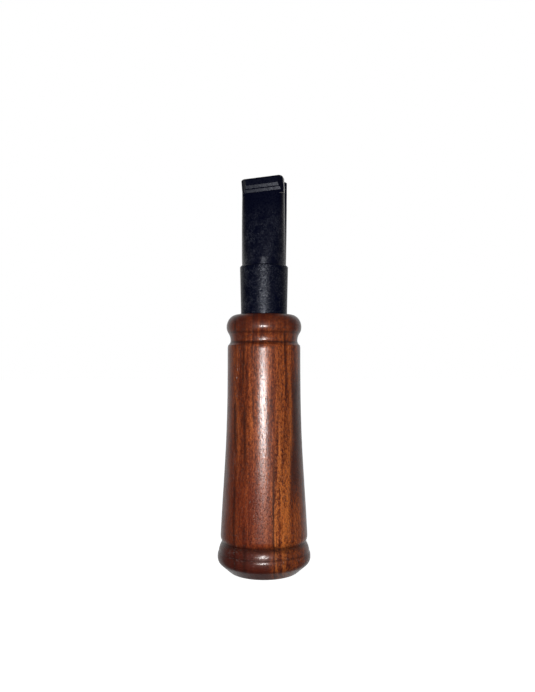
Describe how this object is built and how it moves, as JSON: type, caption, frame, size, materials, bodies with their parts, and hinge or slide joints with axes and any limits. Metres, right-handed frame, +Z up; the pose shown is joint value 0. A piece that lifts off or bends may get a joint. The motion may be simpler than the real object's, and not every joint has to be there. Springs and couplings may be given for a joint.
{
  "type": "duck call",
  "caption": "Mouth-blown game call: flared turned hardwood barrel with a black reed mouthpiece of two jaws held in a tapered sleeve.",
  "frame": {"origin": "centre of the bell end's rim, the flat the call stands on", "axes": "+Z up the barrel's axis from the bell end to the mouthpiece; the front jaw faces -Y, turned 9.5 degrees towards -X"},
  "size_m": [0.032, 0.032, 0.1352],
  "materials": {
    "barrel_wood": "lacquered reddish brown hardwood",
    "sleeve_plastic": "worn black plastic, soft gloss",
    "jaw_plastic": "moulded black plastic with fine scuffs",
    "reed_film": "translucent polyester film",
    "wedge_cork": "natural cork"
  },
  "bodies": {
    "barrel": {"barrel": "barrel_wood"},
    "sleeve": {"mouthpiece_sleeve": "sleeve_plastic"},
    "jaws": {"front_jaw": "jaw_plastic", "rear_jaw": "jaw_plastic", "reed_wedge": "wedge_cork"},
    "reed": {"reed": "reed_film"}
  },
  "joints": [
    {"name": "mouthpiece_pull", "type": "slide", "parent": "barrel", "child": "sleeve", "axis": [0, 0, 1], "range_m": [0, 0.021]},
    {"name": "jaw_pull", "type": "slide", "parent": "sleeve", "child": "jaws", "axis": [0, 0, 1], "range_m": [0, 0.033]},
    {"name": "reed_flex", "type": "hinge", "parent": "jaws", "child": "reed", "pos_m": [-0.00004, -0.00025, 0.0835], "axis": [0.9863, -0.165, 0], "range_deg": [-0.5, 1.2], "stiffness_Nm_per_rad": 0.0124}
  ]
}
